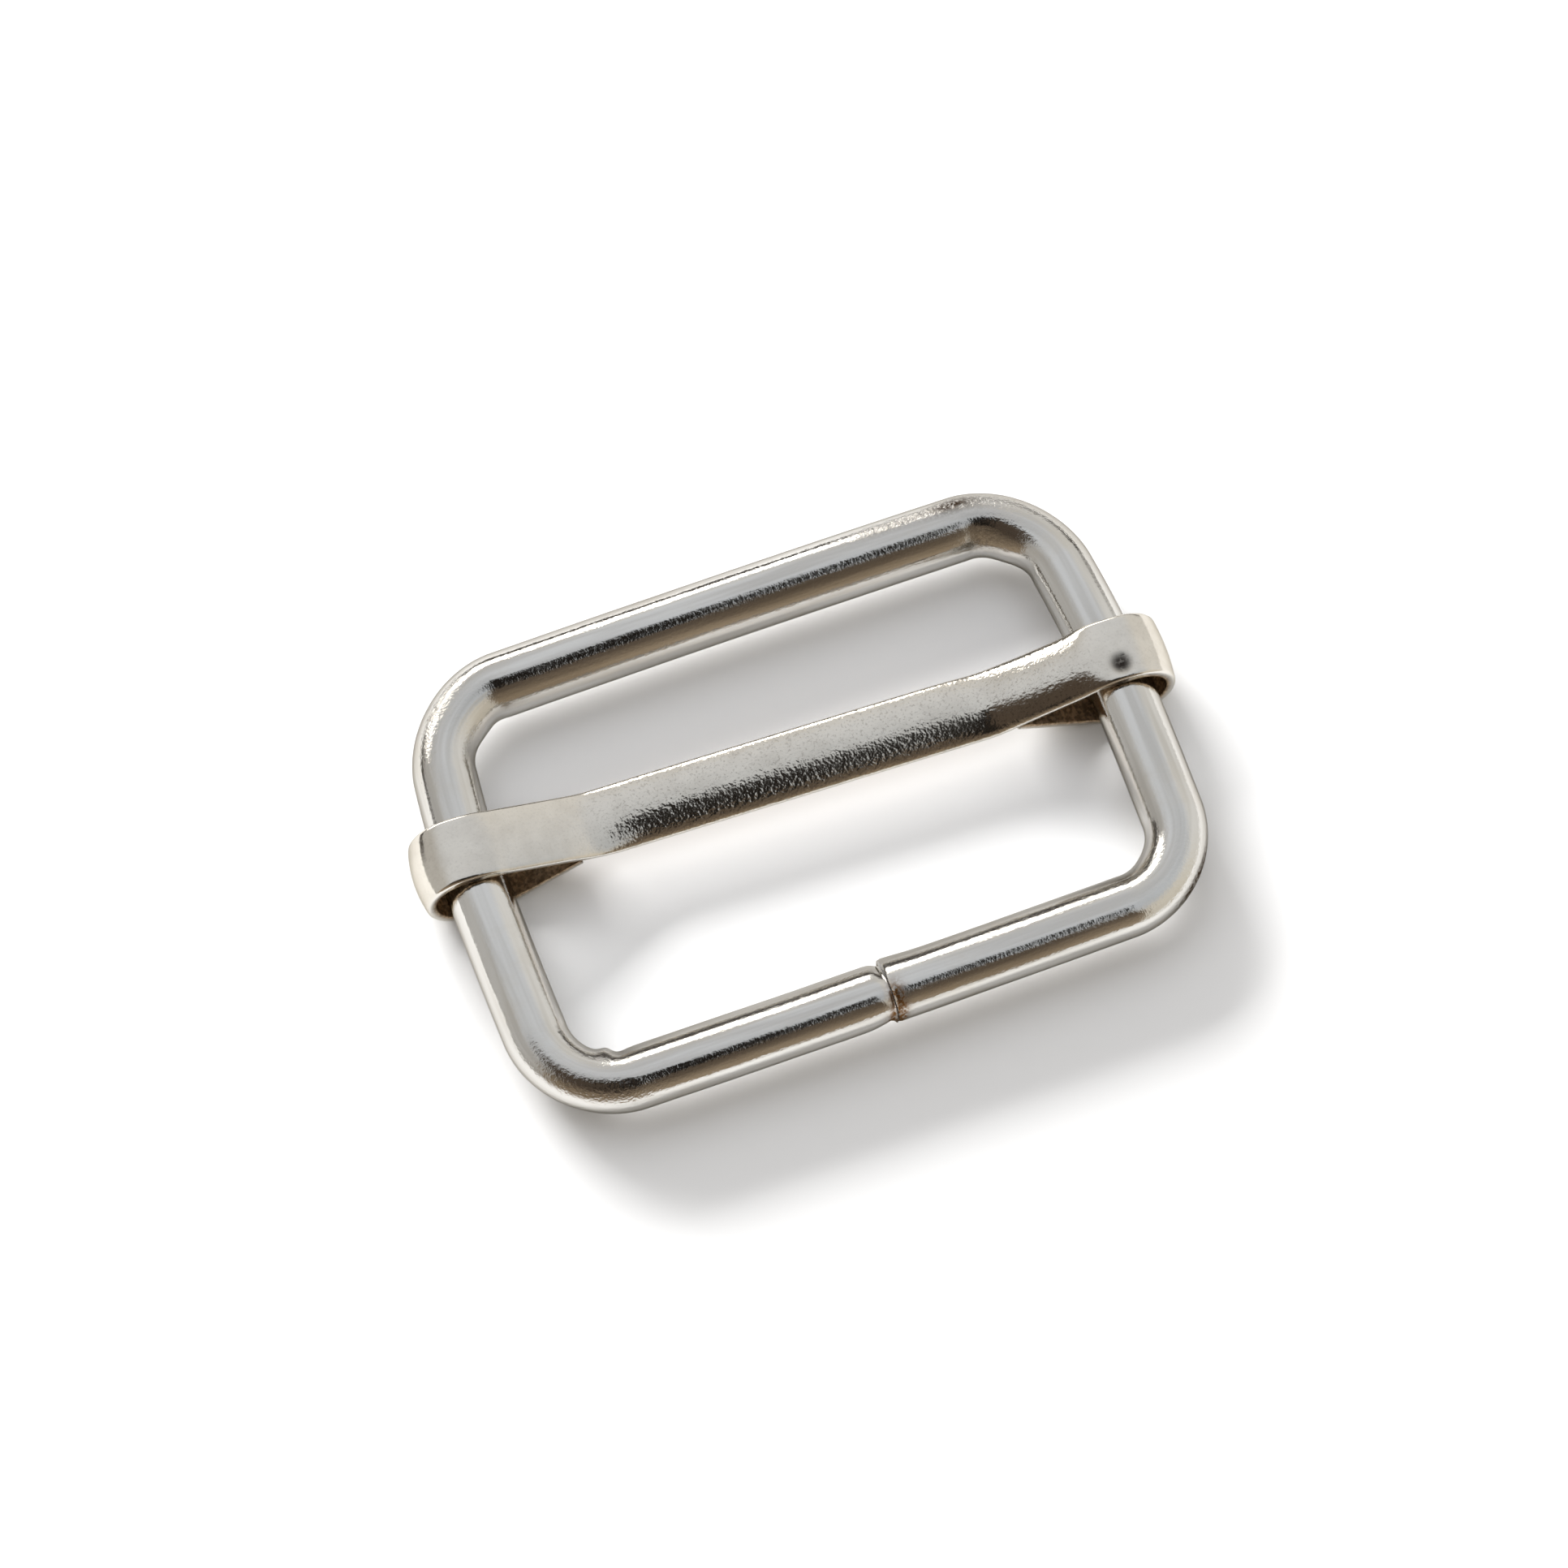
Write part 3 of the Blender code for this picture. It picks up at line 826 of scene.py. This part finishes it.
def studio_colour(nodes, to_right, to_back, height):
    """The pale walls and ceiling, with a dark skirting low at the back."""
    from_left = nodes.remap(to_right, -0.8, 0.8)
    back_walls = nodes.blend(from_left, *WALL_COLOURS)
    front_walls = nodes.blend(from_left, *FRONT_WALL_COLOURS)
    walls = nodes.blend(nodes.remap(to_back, -0.6, 0.1), front_walls, back_walls)
    overhead = nodes.blend(nodes.remap(to_back, -0.5, 0.7), *OVERHEAD_COLOURS)
    colour = nodes.blend(nodes.remap(height, 0.55, 0.9), walls, overhead)
    skirting = nodes.math(
        "MULTIPLY", nodes.fade_out(height, 0.19, 0.25), nodes.remap(to_back, 0.36, 0.52))
    return nodes.blend(skirting, colour, SKIRTING_COLOUR)


def build_world():
    """A pale studio with a window at the back; the room in front, where the camera stands, is dark."""
    world = bpy.data.worlds.new("studio")
    bpy.context.scene.world = world
    world.use_nodes = True
    nodes = Nodes(world.node_tree)
    heading = nodes.add("ShaderNodeTexCoord").outputs["Generated"]
    split = nodes.add("ShaderNodeSeparateXYZ")
    nodes.link(heading, split.inputs[0])
    to_right, to_back, height = split.outputs
    colour = studio_colour(nodes, to_right, to_back, height)
    room = nodes.blend(nodes.remap(height, 0.05, 0.8), *ROOM_COLOURS)
    colour = nodes.blend(lobe_share(nodes, heading, *ROOM_LOBE), colour, room)
    colour = nodes.blend(lobe_share(nodes, heading, *CAMERA_LOBE), colour, CAMERA_COLOUR)
    colour = nodes.blend(lobe_share(nodes, heading, *SHOULDER_LOBE), colour, SHOULDER_COLOUR)
    colour = nodes.blend(window_share(nodes, to_right, to_back, height), colour, WINDOW_COLOUR)
    background = world.node_tree.nodes["Background"]
    nodes.link(colour, background.inputs["Color"])
    background.inputs["Strength"].default_value = 1.0


def add_softbox(name, azimuth, elevation, distance, width, height, power):
    """A soft rectangular light that faces the buckle; the metal doesn't mirror it."""
    lamp = bpy.data.lights.new(name, "AREA")
    lamp.shape = "RECTANGLE"
    lamp.size = width
    lamp.size_y = height
    lamp.energy = power
    light = bpy.data.objects.new(name, lamp)
    direction = direction_of(azimuth, elevation)
    light.location = direction * distance
    light.rotation_euler = direction.to_track_quat("Z", "Y").to_euler()
    light.visible_camera = False
    light.visible_glossy = False
    bpy.context.scene.collection.objects.link(light)


def build_floor():
    """A plain pale board under the buckle."""
    half = FLOOR_HALF_SIZE
    corners = [(-half, -half, 0.0), (half, -half, 0.0), (half, half, 0.0), (-half, half, 0.0)]
    mesh = bpy.data.meshes.new("floor")
    mesh.from_pydata(corners, [], [(0, 1, 2, 3)])
    mesh.materials.append(make_pale_board())
    floor = bpy.data.objects.new("floor", mesh)
    bpy.context.scene.collection.objects.link(floor)


def build_camera(rail_z):
    """A long lens that looks down on the buckle from the front, a little from the left."""
    away = direction_of(CAMERA_AZIMUTH, CAMERA_ELEVATION)
    rotation = away.to_track_quat("Z", "Y")
    right = rotation @ Vector((1.0, 0.0, 0.0))
    up = rotation @ Vector((0.0, 1.0, 0.0))
    target = Vector((0.0, 0.0, rail_z)) - right * VIEW_OFFSET[0] + up * VIEW_OFFSET[1]
    distance = VIEW_WIDTH * CAMERA_LENS / CAMERA_SENSOR
    data = bpy.data.cameras.new("camera")
    data.lens = CAMERA_LENS
    data.sensor_width = CAMERA_SENSOR
    data.clip_start = distance / CLIP_RATIO
    data.clip_end = distance * CLIP_RATIO
    camera = bpy.data.objects.new("camera", data)
    camera.location = target + away * distance
    camera.rotation_mode = "QUATERNION"
    camera.rotation_quaternion = rotation
    bpy.context.scene.collection.objects.link(camera)
    bpy.context.scene.camera = camera


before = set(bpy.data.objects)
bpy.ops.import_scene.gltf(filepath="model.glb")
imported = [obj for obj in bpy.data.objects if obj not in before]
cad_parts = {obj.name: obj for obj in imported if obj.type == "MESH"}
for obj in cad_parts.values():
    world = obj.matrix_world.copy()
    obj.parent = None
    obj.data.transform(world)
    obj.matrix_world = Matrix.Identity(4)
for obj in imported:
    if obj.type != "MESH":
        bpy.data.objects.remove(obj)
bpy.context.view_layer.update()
wire_low, wire_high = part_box("wire_frame")
bar_low, bar_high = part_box("slide_bar")

wire = build_wire(make_polished_nickel(), wire_low, wire_high)
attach(wire, "frame")
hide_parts("wire_frame")

bar = build_bar(make_satin_nickel(), bar_low, bar_high)
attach(bar, "bar")
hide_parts("slide_bar")

build_floor()
build_world()
for name, settings in SOFTBOXES.items():
    add_softbox(name, **settings)
build_camera((wire_low.z + wire_high.z) / 2)
bpy.context.scene.view_settings.view_transform = "Standard"
